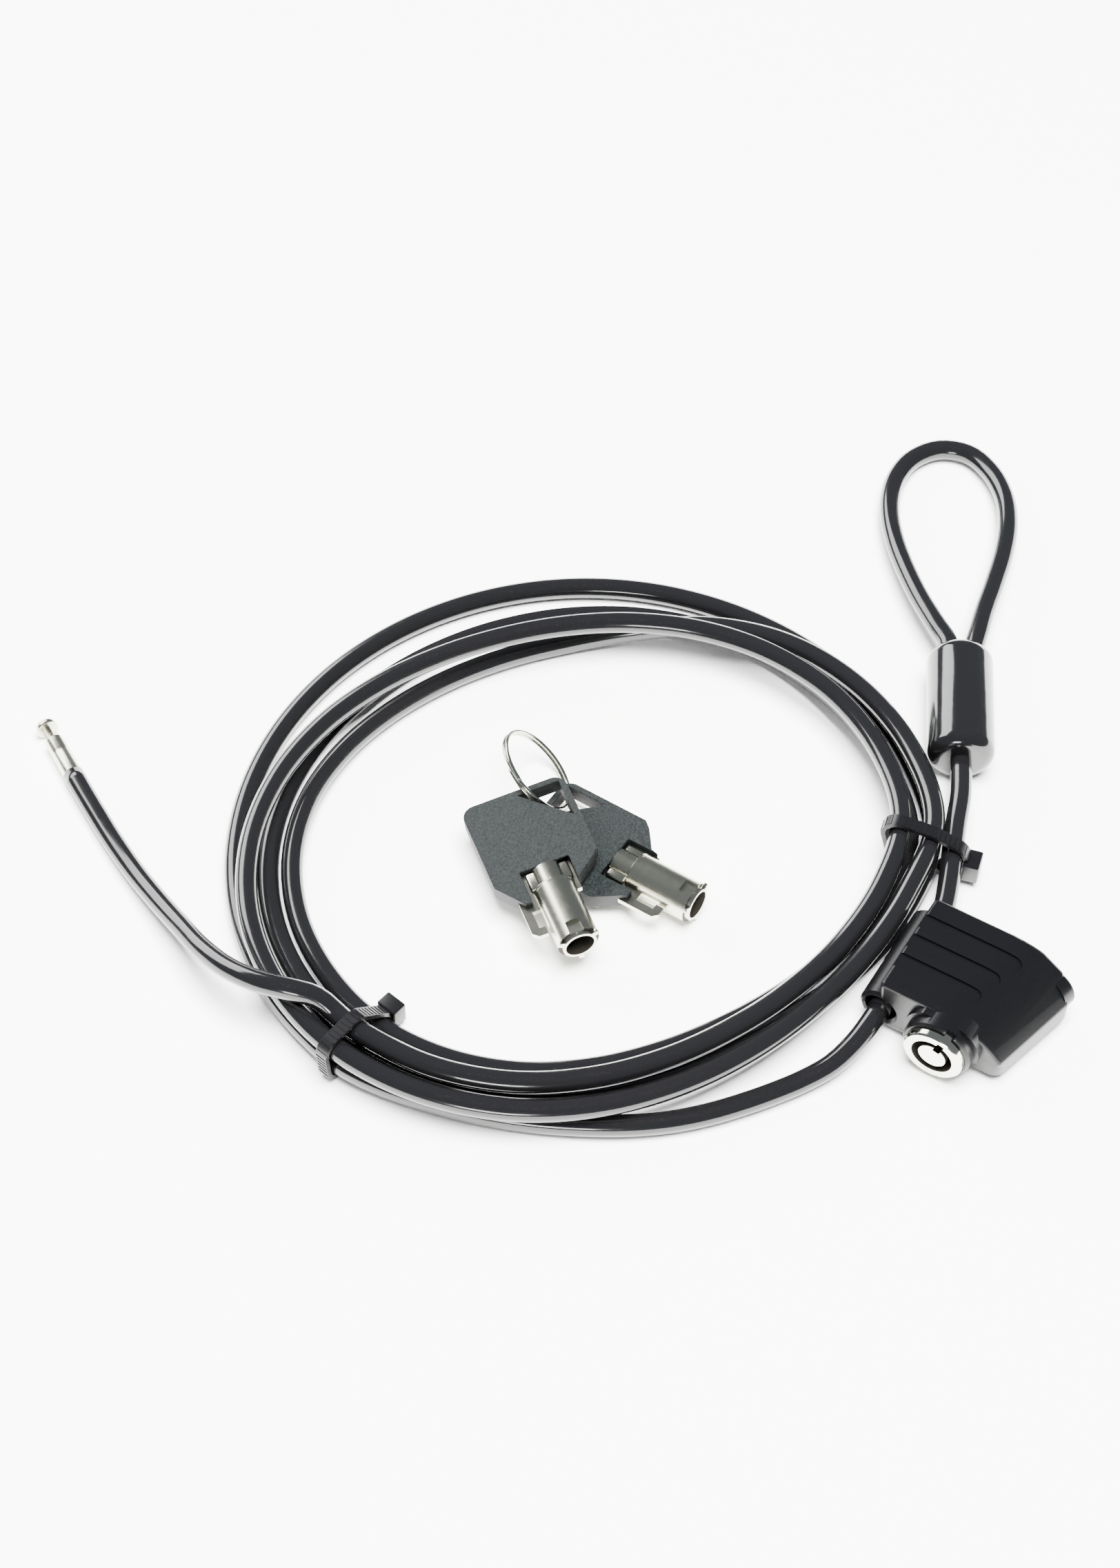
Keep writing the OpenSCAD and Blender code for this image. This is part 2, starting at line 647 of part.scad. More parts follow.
// The strap and head of a tie round the strands at slots, drawn in the radius and height plane.
// turn swings the strap from the radius, about the radius middle, and end is 1 for a head outside the coil, -1 inside
module tie(angle, slots, turn, middle, end, head_z) {
    pull = cable_radius + tie_gap;
    reach = end * (max([for (s = slots) end * (s[0] - middle)]) / cos(turn) + pull);
    translate(on_coil(angle, middle, 0)) rotate([0, 0, angle + turn]) {
        rotate([90, 0, 0]) linear_extrude(tie_width, center = true) difference() {
            hull() for (s = slots) translate([(s[0] - middle) / cos(turn), s[1]]) circle(r = pull + tie_thickness, $fn = 24);
            hull() for (s = slots) translate([(s[0] - middle) / cos(turn), s[1]]) circle(r = pull, $fn = 24);
        }
        translate([reach + end * (head_size[0] / 2 + 0.1), 0, head_z]) cube(head_size, center = true);
    }
}

module tie_right() {
    color("#202124") tie(tie_right_at, concat(tie_right_slots, [link_slot]), tie_right_turn, 62, 1, 3.6);
}

module tie_left() {
    color("#202124") tie(tie_left_angle, left_slots, 0, 57, -1, 3.2);
}

// ---- keys ------------------------------------------------------------------------------------

key_1_pose = [[-63.14, -27.44, 7.80], -38.4, 0, 6];
key_2_pose = [[-50.86, -7.01, 4.35], -3, 1.4, 0];
barrel_r = keyway_diameter / 2;
bow_corner = 2.5;
bow_front = -11;
bow_shoulder = -16.5;
hole_corner_x = 1.2;
hole_leg = 8;
hole_inset = 1.2;
blade_thickness = 1;
recess_width = 9.4;
recess_start = -17.8;

module bow_outline() {
    rear = -key_length + bow_corner;
    side = bow_width / 2;
    for (y = [-side + bow_corner, side - bow_corner]) translate([rear, y]) circle(r = bow_corner);
    polygon([[-key_length, -side + bow_corner], [rear, -side], [bow_shoulder, -side], [bow_front, -side + 4],
             [bow_front, 4.6], [-13, 5], [bow_shoulder + 0.5, side - 1.2], [bow_shoulder - 1, side],
             [rear, side], [-key_length, side - bow_corner]]);
}

module blade_plate(gap) {
    translate([-21 - gap, -7 - gap, -blade_thickness / 2 - gap]) {
        cube([21 + bow_front + 2 * gap, 14 - 2.4 + 2 * gap, blade_thickness + 2 * gap]);
    }
}

module key_bow() {
    color("#3c3f40") difference() {
        translate([0, 0, -bow_thickness / 2]) linear_extrude(bow_thickness) bow_outline();
        translate([-key_length + hole_corner_x, bow_width / 2 - hole_inset, -bow_thickness]) {
            linear_extrude(2 * bow_thickness) polygon([[0, 0], [0, -hole_leg], [hole_leg, 0]]);
        }
        blade_plate(0.03);
        translate([recess_start, -recess_width / 2, -bow_thickness]) cube([20, recess_width, 2 * bow_thickness]);
    }
}

shoulder_radius = 2.8;
tip_wall = 0.7;
tip_step = 0.8;
tab_points = [[bow_front - 0.5, -7], [-5.4, -7], [-4.4, -6], [-4.4, -4.3], [-6, -4.3], [-6, -5.4], [-9.6, -5.4],
              [-9.6, -3.6], [bow_front - 0.5, -3.6]];
key_notch_size = [2.4, 2.6, 2];
module key_blade() {
    color("#d9d9cf") difference() {
        union() {
            turned_x([[0, bow_shoulder - 0.8], [shoulder_radius, bow_shoulder - 0.8], [shoulder_radius, -key_barrel],
                      [barrel_r, -key_barrel + 0.4], [barrel_r, -tip_step], [barrel_r - tip_wall, -tip_step],
                      [barrel_r - tip_wall, 0], [0, 0]]);
            blade_plate(0);
            translate([0, 0, -blade_thickness / 2]) linear_extrude(blade_thickness) polygon(tab_points);
        }
        translate([-7, 0, 0]) rotate([0, 90, 0]) cylinder(d = post_diameter + 0.1, h = 8);
        translate([-tip_step - key_notch_size[0], -key_notch_size[1] / 2, barrel_r - tip_wall]) cube(key_notch_size);
    }
}

module posed(pose) {
    headed(pose[0], pose[1], pose[2], pose[3]) children();
}

module key_1_bow() {
    posed(key_1_pose) key_bow();
}

module key_1_blade() {
    posed(key_1_pose) key_blade();
}

module key_2_bow() {
    posed(key_2_pose) key_bow();
}

module key_2_blade() {
    posed(key_2_pose) key_blade();
}

ring_place = [-90.1, 2.35, 6.95];
ring_tilt = 47.6;
ring_azimuth = 42.1;
module key_ring() {
    color("#cfd0c8") translate(ring_place) rotate([0, ring_tilt, ring_azimuth]) rotate_extrude() {
        for (side = [-1, 1]) translate([ring_diameter / 2, side * ring_wire * 0.47]) circle(d = ring_wire);
    }
}

upper_shell();
lower_shell();
shell_screws();
plug_socket();
lock_cylinder();
cylinder_core();
tumbler_pins();
return_spring();
latch_slide();
cable_in_housing();
cable_lead();
cable_coil();
cable_tail();
cable_link();
cable_loop();
ferrule_sleeve();
ferrule_crimp();
plug();
tie_right();
tie_left();
key_1_bow();
key_1_blade();
key_2_bow();
key_2_blade();
key_ring();
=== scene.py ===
import bpy, bmesh, math
from mathutils import Matrix, Vector


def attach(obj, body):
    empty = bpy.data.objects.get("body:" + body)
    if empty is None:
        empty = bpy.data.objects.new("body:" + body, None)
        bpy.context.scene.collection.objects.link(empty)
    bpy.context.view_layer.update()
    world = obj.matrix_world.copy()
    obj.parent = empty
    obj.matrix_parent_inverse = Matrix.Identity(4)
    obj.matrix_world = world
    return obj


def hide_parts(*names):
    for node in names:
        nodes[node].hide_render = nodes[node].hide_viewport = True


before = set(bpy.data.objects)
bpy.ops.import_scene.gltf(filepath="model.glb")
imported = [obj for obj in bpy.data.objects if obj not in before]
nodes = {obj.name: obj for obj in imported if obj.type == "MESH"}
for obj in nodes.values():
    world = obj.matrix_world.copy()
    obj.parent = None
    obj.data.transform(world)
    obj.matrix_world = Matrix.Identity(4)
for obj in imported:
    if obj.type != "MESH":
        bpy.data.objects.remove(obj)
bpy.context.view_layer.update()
mm = 0.001


# colours and shader nodes

def hexToLinear(code):
    channels = [int(code[i:i + 2], 16) / 255 for i in (1, 3, 5)]
    return [c / 12.92 if c <= 0.04045 else ((c + 0.055) / 1.055) ** 2.4 for c in channels] + [1.0]


def addNode(tree, kind, settings=(), values=(), links=()):
    # settings are the node's own options, values go on its sockets, links are socket to source output
    node = tree.nodes.new(kind)
    for name, value in dict(settings).items():
        setattr(node, name, value)
    for name, value in dict(values).items():
        node.inputs[name].default_value = value
    for name, source in dict(links).items():
        tree.links.new(source, node.inputs[name])
    return node


def newMaterial(name, values):
    material = bpy.data.materials.new(name)
    material.use_nodes = True
    tree = material.node_tree
    shader = tree.nodes["Principled BSDF"]
    for key, value in values.items():
        shader.inputs[key].default_value = value
    return material, tree, shader


def newMetal(name, code):
    return newMaterial(name, {"Base Color": hexToLinear(code), "Metallic": 1.0})


# places, lines and outlines

def ease(x):
    c = max(0, min(1, x))
    return c * c * (3 - 2 * c)


def metres(points):
    return [tuple(c * mm for c in p) for p in points]


def headingOf(start, end):
    return math.degrees(math.atan2(end[1] - start[1], end[0] - start[0]))


def posed(place, heading, climb=0, roll=0):
    # the same turn as the source's: roll about X, climb about Y, heading about Z, then the place in mm
    return (Matrix.Translation(Vector(place) * mm) @ Matrix.Rotation(math.radians(heading), 4, "Z")
            @ Matrix.Rotation(math.radians(-climb), 4, "Y") @ Matrix.Rotation(math.radians(roll), 4, "X"))


def curveThrough(points, spacing, firstWay):
    # a smooth line through the points (centripetal Catmull-Rom), cut into steps of about the spacing
    pts = [Vector(p) for p in points]
    before = pts[0] - Vector(firstWay) * (pts[1] - pts[0]).length
    after = pts[-1] + (pts[-1] - pts[-2])
    pts = [before] + pts + [after]
    line = []
    for i in range(1, len(pts) - 2):
        a, b, c, d = pts[i - 1:i + 3]
        t0, t1 = 0, (b - a).length ** 0.5
        t2 = t1 + (c - b).length ** 0.5
        t3 = t2 + (d - c).length ** 0.5
        steps = max(1, round((c - b).length / spacing))
        for k in range(steps):
            t = t1 + (t2 - t1) * k / steps
            a1 = a * ((t1 - t) / (t1 - t0)) + b * ((t - t0) / (t1 - t0))
            a2 = b * ((t2 - t) / (t2 - t1)) + c * ((t - t1) / (t2 - t1))
            a3 = c * ((t3 - t) / (t3 - t2)) + d * ((t - t2) / (t3 - t2))
            b1 = a1 * ((t2 - t) / (t2 - t0)) + a2 * ((t - t0) / (t2 - t0))
            b2 = a2 * ((t3 - t) / (t3 - t1)) + a3 * ((t - t1) / (t3 - t1))
            line.append(b1 * ((t2 - t) / (t2 - t1)) + b2 * ((t - t1) / (t2 - t1)))
    return line + [pts[-2]]


def arcPoints(middle, radius, fromAngle, toAngle, steps):
    angles = [math.radians(fromAngle + (toAngle - fromAngle) * i / steps) for i in range(steps + 1)]
    return [(middle[0] + radius * math.cos(a), middle[1] + radius * math.sin(a)) for a in angles]


# meshes: welds in metres, angles in degrees

meshing = {"weld": 1e-6, "nodeWeld": 2e-6, "flatAngle": 0.8, "blockSmooth": 40, "nodeSmooth": 32}


def meshObject(name, vertices, faces, material, smooth=True):
    mesh = bpy.data.meshes.new(name)
    mesh.from_pydata([tuple(v) for v in vertices], [], faces)
    mesh.update()
    piece = bpy.data.objects.new(name, mesh)
    bpy.context.collection.objects.link(piece)
    mesh.materials.append(material)
    if smooth:
        mesh.shade_smooth()
    return piece


def outward(piece):
    work = bmesh.new()
    work.from_mesh(piece.data)
    bmesh.ops.remove_doubles(work, verts=work.verts, dist=meshing["weld"])
    bmesh.ops.recalc_face_normals(work, faces=work.faces)
    work.to_mesh(piece.data)
    work.free()
    return piece


def smoothByAngle(piece, degrees):
    piece.data.shade_smooth()
    piece.data.set_sharp_from_angle(angle=math.radians(degrees))
    return piece


def applyModifiers(piece):
    bpy.context.view_layer.update()
    graph = bpy.context.evaluated_depsgraph_get()
    mesh = bpy.data.meshes.new_from_object(piece.evaluated_get(graph))
    piece.modifiers.clear()
    piece.data = mesh
    return piece


def tube(name, line, radius, sides, material):
    # a closed tube with a UV map: u once round, v along in metres
    count = len(line)
    ways = [(line[min(i + 1, count - 1)] - line[max(i - 1, 0)]).normalized() for i in range(count)]
    side = ways[0].cross(Vector((0, 0, 1)))
    side = side.normalized() if side.length > 0.01 else Vector((1, 0, 0))
    rings, along, gone = [], [], 0
    for i in range(count):
        if i:
            side = (ways[i - 1].rotation_difference(ways[i]) @ side).normalized()
            gone += (line[i] - line[i - 1]).length
        top = ways[i].cross(side)
        rings.append([line[i] + radius * (math.cos(a) * side + math.sin(a) * top)
                      for a in (2 * math.pi * k / sides for k in range(sides))])
        along.append(gone)
    vertices = [v for ring in rings for v in ring]
    faces = [(i * sides + k, i * sides + (k + 1) % sides,
              (i + 1) * sides + (k + 1) % sides, (i + 1) * sides + k)
             for i in range(count - 1) for k in range(sides)]
    faces += [tuple(range(sides))[::-1], tuple((count - 1) * sides + k for k in range(sides))]
    piece = meshObject(name, vertices, faces, material)
    layer = piece.data.uv_layers.new(name="UVMap")
    for polygon in piece.data.polygons:
        for corner, loop in zip(polygon.vertices, polygon.loop_indices):
            layer.data[loop].uv = ((corner % sides) / sides, along[corner // sides])
    piece.data.polygons[-1].use_smooth = piece.data.polygons[-2].use_smooth = False
    return outward(piece), gone


def lathe(name, profile, segments, matrix, material, degrees):
    # profile points are (x, radius) in mm along the piece's own X axis, closed on the axis at both ends
    onAxis = 1e-5
    vertices, faces, rows = [], [], []
    for x, r in profile:
        rows.append(len(vertices))
        if r < onAxis:
            vertices.append(matrix @ Vector((x * mm, 0, 0)))
        else:
            vertices += [matrix @ Vector((x * mm, r * mm * math.cos(a), r * mm * math.sin(a)))
                         for a in (2 * math.pi * k / segments for k in range(segments))]
    for (_, r0), (_, r1), a, b in zip(profile, profile[1:], rows, rows[1:]):
        for k in range(segments):
            n = (k + 1) % segments
            if r0 < onAxis:
                faces.append((a, b + n, b + k))
            elif r1 < onAxis:
                faces.append((a + k, a + n, b))
            else:
                faces.append((a + k, a + n, b + n, b + k))
    return smoothByAngle(outward(meshObject(name, vertices, faces, material)), degrees)


def roundedBlock(name, low, high, rounding, matrix, material, segments=3):
    corners = metres((x, y, z) for x in (low[0], high[0]) for y in (low[1], high[1])
                     for z in (low[2], high[2]))
    faces = [(0, 1, 3, 2), (4, 6, 7, 5), (0, 4, 5, 1), (2, 3, 7, 6), (0, 2, 6, 4), (1, 5, 7, 3)]
    block = meshObject(name, corners, faces, material)
    edge = block.modifiers.new("edge", "BEVEL")
    edge.width = rounding * mm
    edge.segments = segments
    applyModifiers(block)
    block.data.transform(matrix)
    return smoothByAngle(outward(block), meshing["blockSmooth"])


def dressed(node, material, bevel, degrees=28, segments=2):
    # a merged copy of a CAD node with its sharp edges broken, in place of the node
    mesh = nodes[node].data.copy()
    piece = bpy.data.objects.new(node + "Piece", mesh)
    bpy.context.collection.objects.link(piece)
    work = bmesh.new()
    work.from_mesh(mesh)
    bmesh.ops.remove_doubles(work, verts=work.verts, dist=meshing["nodeWeld"])
    flatLimit = math.radians(meshing["flatAngle"])
    bmesh.ops.dissolve_limit(work, angle_limit=flatLimit, verts=work.verts, edges=work.edges)
    work.to_mesh(mesh)
    work.free()
    mesh.materials.clear()
    mesh.materials.append(material)
    edge = piece.modifiers.new("edge", "BEVEL")
    edge.width = bevel * mm
    edge.segments = segments
    edge.limit_method = "ANGLE"
    edge.angle_limit = math.radians(degrees)
    edge.use_clamp_overlap = True
    applyModifiers(piece)
    smoothByAngle(piece, meshing["nodeSmooth"])
    flat = piece.modifiers.new("flat", "WEIGHTED_NORMAL")  # large faces stay flat beside their bevels
    flat.keep_sharp = True
    applyModifiers(piece)
    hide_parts(node)
    return piece


# camera, floor and light: metres for the floor, mm for the rest

cameraView = {"place": (99.8, -305.45, 474.4), "target": (-87.7, 6.52, 0), "lens": 73.93, "sensor": 36,
              "clipStart": 10}
camera = bpy.data.objects.new("camera", bpy.data.cameras.new("camera"))
bpy.context.collection.objects.link(camera)
camera.location = Vector(cameraView["place"]) * mm
way = Vector(cameraView["target"]) * mm - camera.location
camera.rotation_euler = way.to_track_quat("-Z", "Y").to_euler()
camera.data.lens = cameraView["lens"]
camera.data.sensor_width = cameraView["sensor"]
camera.data.clip_start = cameraView["clipStart"] * mm
bpy.context.scene.camera = camera

studio = {"floor": "#f6f6f4", "floorHalf": 1.5, "floorDrop": 0.0002, "world": "#8d949b", "worldStrength": 0.7,
          "aim": (-60, 10, 5)}
floorMaterial, _, _ = newMaterial("paperSweep", {"Base Color": hexToLinear(studio["floor"]), "Roughness": 0.9,
                                                 "Specular IOR Level": 0.1})
half, drop = studio["floorHalf"], -studio["floorDrop"]
floorCorners = [(-half, -half, drop), (half, -half, drop), (half, half, drop), (-half, half, drop)]
floor = meshObject("floor", floorCorners, [(0, 1, 2, 3)], floorMaterial, smooth=False)

world = bpy.data.worlds.new("studio")
bpy.context.scene.world = world
world.use_nodes = True
background = world.node_tree.nodes["Background"]
background.inputs["Color"].default_value = hexToLinear(studio["world"])
background.inputs["Strength"].default_value = studio["worldStrength"]


def softBox(name, place, size, power, mirrored=True):
    lamp = bpy.data.lights.new(name, "AREA")
    lamp.shape = "RECTANGLE"
    lamp.size, lamp.size_y = size[0] * mm, size[1] * mm
    lamp.energy = power
    holder = bpy.data.objects.new(name, lamp)
    bpy.context.collection.objects.link(holder)
    holder.location = Vector(place) * mm
    holder.visible_glossy = mirrored
    holder.rotation_euler = (Vector(studio["aim"]) * mm - holder.location).to_track_quat("-Z", "Y").to_euler()


softBox("sidePanel", (-760, 160, 430), (700, 420), 11)  # draws the grey band along each cable
softBox("frontPanel", (260, -900, 300), (300, 160), 5)  # lights the lock's face
softBox("topFill", (120, -60, 1500), (900, 900), 260, mirrored=False)  # a bright floor, no glare on top
print("camera and studio ready")


# materials: sizes of grain in mm, drawn coarser than the real ones where those would be too fine to show

def grain(tree, shader, size, bump, depth, roughness, detail=2.0):
    # noise on Object coordinates, as bump of the given depth and as a spread of roughness
    place = addNode(tree, "ShaderNodeTexCoord")
    noise = addNode(tree, "ShaderNodeTexNoise", values={"Scale": 1 / (size * mm), "Detail": detail},
                    links={"Vector": place.outputs["Object"]})
    relief = addNode(tree, "ShaderNodeBump", values={"Strength": bump, "Distance": depth * mm},
                     links={"Height": noise.outputs["Fac"]})
    spread = addNode(tree, "ShaderNodeMapRange", values={"To Min": roughness[0], "To Max": roughness[1]},
                     links={"Value": noise.outputs["Fac"]})
    tree.links.new(relief.outputs["Normal"], shader.inputs["Normal"])
    tree.links.new(spread.outputs["Result"], shader.inputs["Roughness"])
    return noise


def speckle(tree, shader, noise, dark, light, edges=(0.35, 0.65)):
    # two close tones follow the grain
    ramp = addNode(tree, "ShaderNodeValToRGB", links={"Fac": noise.outputs["Fac"]})
    for stop, position, code in zip(ramp.color_ramp.elements, edges, (dark, light)):
        stop.position = position
        stop.color = hexToLinear(code)
    tree.links.new(ramp.outputs["Color"], shader.inputs["Base Color"])


# moulded ABS: black satin with a fine even grain, soft highlights on its edges
mouldedAbs, tree, shader = newMaterial("mouldedAbs", {"Base Color": hexToLinear("#060607"),
                                                      "Specular IOR Level": 0.3, "IOR": 1.54})
grain(tree, shader, 0.4, 0.12, 0.1, (0.26, 0.38))

# extruded PVC: glossy black jacket whose highlight wavers a little along the cable
extrudedPvc, tree, shader = newMaterial("extrudedPvc", {"Base Color": hexToLinear("#0b0b0c"), "IOR": 1.53,
                                                        "Coat Weight": 0.3, "Coat Roughness": 0.08})
grain(tree, shader, 2.38, 0.04, 0.3, (0.1, 0.2))

# dipped vinyl: the glossiest black, with the slow waves of a dipped skin
dippedVinyl, tree, shader = newMaterial("dippedVinyl", {"Base Color": hexToLinear("#0a0a0b"), "IOR": 1.53,
                                                        "Coat Weight": 0.5, "Coat Roughness": 0.06})
grain(tree, shader, 6.25, 0.12, 0.6, (0.1, 0.18))

# moulded nylon: black, a shade duller than the housing
mouldedNylon, tree, shader = newMaterial("mouldedNylon", {"Base Color": hexToLinear("#070708"), "IOR": 1.53})
grain(tree, shader, 0.556, 0.1, 0.1, (0.3, 0.45))

# nylon from a spark-eroded mould: matt charcoal with a speckled, sandy grain
sparkNylon, tree, shader = newMaterial("sparkErodedNylon", {"IOR": 1.5})
speckle(tree, shader, grain(tree, shader, 0.385, 0.5, 0.12, (0.5, 0.75), 4.0), "#0c0e0e", "#1a1d1d")

# chrome plate: a warm mirror on the lock's face
chromePlate, tree, shader = newMetal("chromePlate", "#dddcd0")
grain(tree, shader, 1.11, 0.008, 0.1, (0.06, 0.14))

# nickel plate: softer than chrome, its bands of light blurred
nickelPlate, tree, shader = newMetal("nickelPlate", "#cfcdbd")
grain(tree, shader, 1.11, 0.01, 0.1, (0.2, 0.3))

# drawn steel wire: bright, with thin highlights along it
drawnSteel, tree, shader = newMetal("drawnSteel", "#c9c9bb")
grain(tree, shader, 1.43, 0.008, 0.1, (0.12, 0.2))

# swaged aluminium: dull pale metal
swagedAluminium, tree, shader = newMetal("swagedAluminium", "#c4c6c8")
grain(tree, shader, 0.667, 0.1, 0.1, (0.3, 0.45))

# turned brass: yellow pins deep in the keyway
turnedBrass, tree, shader = newMetal("turnedBrass", "#c9a456")
grain(tree, shader, 0.667, 0.05, 0.1, (0.18, 0.3))

# painted shade: the inside of the keyway and of the key barrels is coloured nearly black, where shade falls
# deep in the bores
paintedBoreShade, tree, shader = newMaterial("paintedBoreShade", {"Base Color": hexToLinear("#2b2823"), "Metallic": 0.5})
grain(tree, shader, 0.667, 0.1, 0.1, (0.5, 0.7))
print("materials ready")


def shadeBore(piece, matrix, depths, radius, inner=math.inf):
    # faces inside a bore along X of the matrix that look inwards, or lie past the inner radius, get the
    # bore's painted shade
    piece.data.materials.append(paintedBoreShade)
    inverse = matrix.inverted()
    turned = inverse.to_3x3()
    for face in piece.data.polygons:
        c = inverse @ face.center / mm
        n = turned @ face.normal
        reach = math.hypot(c.y, c.z)
        looksInwards = n.y * c.y + n.z * c.z < 0
        if depths[0] < c.x < depths[1] and reach < radius and (looksInwards or reach > inner):
            face.material_index = len(piece.data.materials) - 1
    return piece


# cables: the source's routes in mm, drawn through with a smooth line; a slot is (radius, height) in the coil

cable = {"diameter": 4.0, "sides": 24, "spacing": 1.6, "passageSteps": 8}
coil = {"middle": (-76.8, -6.2), "rightTie": 33, "leftTie": 259, "longRings": 15, "shortRings": 9,
        "leftSlots": [(62.1, 3.2), (56.7, 3.2), (52.1, 3.2), (62.4, 7.8), (57.4, 8.2)],
        "rightSlots": [(65.3, 3.2), (60.7, 3.2), (65, 7.8), (59, 8.7)],
        "farArcs": [(1.7, 0.9, 2.5, 2, 0, 0.28), (5, 0.94, 3, 2, 0, 0.28),
                    (12.2, 1.12, 2.5, 2, 0.2, 0.4), (14, 1.05, 2.3, 5.5, 0.15, 1)],
        "nearArcs": [(10.8, 0.8, 1.5, 2, 0, 0.28), (11, 0.77, 1.5, 2, 0, 0.28),
                     (8.8, 0.7, 1.5, 6.7, 0, 0.28), (8.3, 0.8, 1.5, 7, 0, 0.28)]}
routes = {
    "lead": [(-12.5, -10.75, 5.2), (-12.5, -14.3, 5.1), (-13.2, -18.6, 3.9), (-14.8, -23.6, 2.7),
             (-17.6, -28.6, 2.1), (-20.8, -33.4, 2), (-24.4, -38.2, 2), (-28.4, -42.9, 2), (-33.2, -47.5, 2),
             (-39.4, -52.1, 2), (-46.8, -56.4, 2), (-54.8, -60.2, 2), (-63, -63.2, 2), (-71.2, -65.4, 2.2),
             (-78.4, -66.9, 2.7), (-84.5, -67.5, 3.2)],
    "tail": [(-91.65, -61.8, 8.4), (-95.6, -62, 10.8), (-99.8, -63.8, 12.3), (-105.4, -65.2, 12.2),
             (-112, -64.9, 10.8), (-119.2, -62.8, 8.8), (-126.6, -59.4, 6.4), (-134, -56, 4.4),
             (-141.6, -52.4, 2.9), (-149.8, -48.2, 2.2), (-157, -44.2, 2.1), (-161.9, -41.4, 2.1),
             (-165.3, -39.4, 2.1)],
    "link": [(-12.5, 10.75, 5.2), (-12.5, 13.9, 5.2), (-14.1, 19.2, 5.4), (-16.5, 25.4, 5.8),
             (-18.9, 31.6, 6.2), (-20.9, 37.3, 6.3), (-22.8, 41.4, 6.3), (-24.6, 44.9, 6.3)],
    "loop": [(-37.5, 65.9, 6.3), (-39.6, 69.2, 6.3), (-44, 72.6, 6), (-49.6, 77.2, 5.4), (-55.2, 82.6, 4.7),
             (-60.3, 88.2, 4.1), (-64.6, 94.2, 3.4), (-67.5, 100, 2.9), (-69, 106, 2.4), (-68.5, 112, 2.1),
             (-65.2, 117, 2), (-59.6, 118.8, 2.1), (-53.6, 116.4, 2.5), (-48, 111.2, 3), (-44, 104.5, 3.6),
             (-41.2, 96.8, 4.3), (-39, 88, 5.1), (-37.2, 79.8, 5.8), (-35.8, 74.6, 6.2), (-34.9, 71, 6.3),
             (-33.8, 67.8, 6.3)]}
ferrule = {"place": routes["link"][-1], "heading": headingOf(routes["link"][-2], routes["link"][-1]),
           "length": 25.5, "radius": 6.3, "rounding": 2.5, "arcSteps": 8, "sides": 64,
           "cableInside": (5, 12, 19)}


def onCoil(angle, r, z):
    a = math.radians(angle)
    return (coil["middle"][0] + r * math.cos(a), coil["middle"][1] + r * math.sin(a), z)


def strandAt(s, near, far, arc):
    # radius and height of a strand, s of the way from one tie to the next; arc is how far it bows inwards,
    # two powers that lean and sharpen the bow, its sunk height, and where it starts and stops sinking
    bow, lean, sharpness, sunk, leaves, settles = arc
    fall = settles - leaves
    r = near[0] + (far[0] - near[0]) * ease(s) - bow * math.sin(math.pi * s ** lean) ** sharpness
    z = (sunk + (near[1] - sunk) * (1 - ease((s - leaves) / fall))
         + (far[1] - sunk) * (1 - ease((1 - s - leaves) / fall)))
    return r, z


def halfLoop(start, span, rings, near, far, arc):
    return [onCoil(start - span * i / rings, *strandAt(i / rings, near, far, arc)) for i in range(rings)]


longSpan = coil["leftTie"] - coil["rightTie"]
shortSpan = 360 - longSpan
coilPath = []
for i, right in enumerate(coil["rightSlots"]):
    left, nextLeft = coil["leftSlots"][i:i + 2]
    far, near = coil["farArcs"][i], coil["nearArcs"][i]
    coilPath += halfLoop(coil["leftTie"], longSpan, coil["longRings"], left, right, far)
    coilPath += halfLoop(coil["rightTie"], shortSpan, coil["shortRings"], right, nextLeft, near)
coilPath.append(onCoil(coil["leftTie"], *coil["leftSlots"][-1]))

radius = cable["diameter"] / 2 * mm
spacing = cable["spacing"] * mm
mainRoute = routes["lead"] + coilPath + routes["tail"]
mainLine = curveThrough(metres(mainRoute), spacing, firstWay=(0, -1, 0))
mainCord, mainLength = tube("mainCable", mainLine, radius, cable["sides"], extrudedPvc)
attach(mainCord, "housing")
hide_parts("cable_lead", "cable_coil", "cable_tail")

ferruleMatrix = posed(ferrule["place"], ferrule["heading"])
inside = [tuple(ferruleMatrix @ Vector((x * mm, 0, 0))) for x in ferrule["cableInside"]]
loopRoute = metres(routes["link"]) + inside + metres(routes["loop"])
loopLine = curveThrough(loopRoute, spacing, firstWay=(0, 1, 0))
loopCord, loopLength = tube("loopCable", loopLine, radius, cable["sides"], extrudedPvc)
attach(loopCord, "housing")
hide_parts("cable_link", "cable_loop")

front, back = Vector(routes["lead"][0]), Vector(routes["link"][0])
passageLine = [front.lerp(back, i / cable["passageSteps"]) * mm for i in range(cable["passageSteps"] + 1)]
passage, _ = tube("cableInPassage", passageLine, radius, cable["sides"], extrudedPvc)
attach(passage, "housing")
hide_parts("cable_in_housing")
print("cables ready", round(mainLength, 3), round(loopLength, 3))

# housing and lock: bevels and places in mm, depths from the lock's mouth

housing = {"upper_shell": 0.14, "lower_shell": 0.14, "plug_socket": 0.1}
for node, bevel in housing.items():
    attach(dressed(node, mouldedAbs, bevel), "housing")

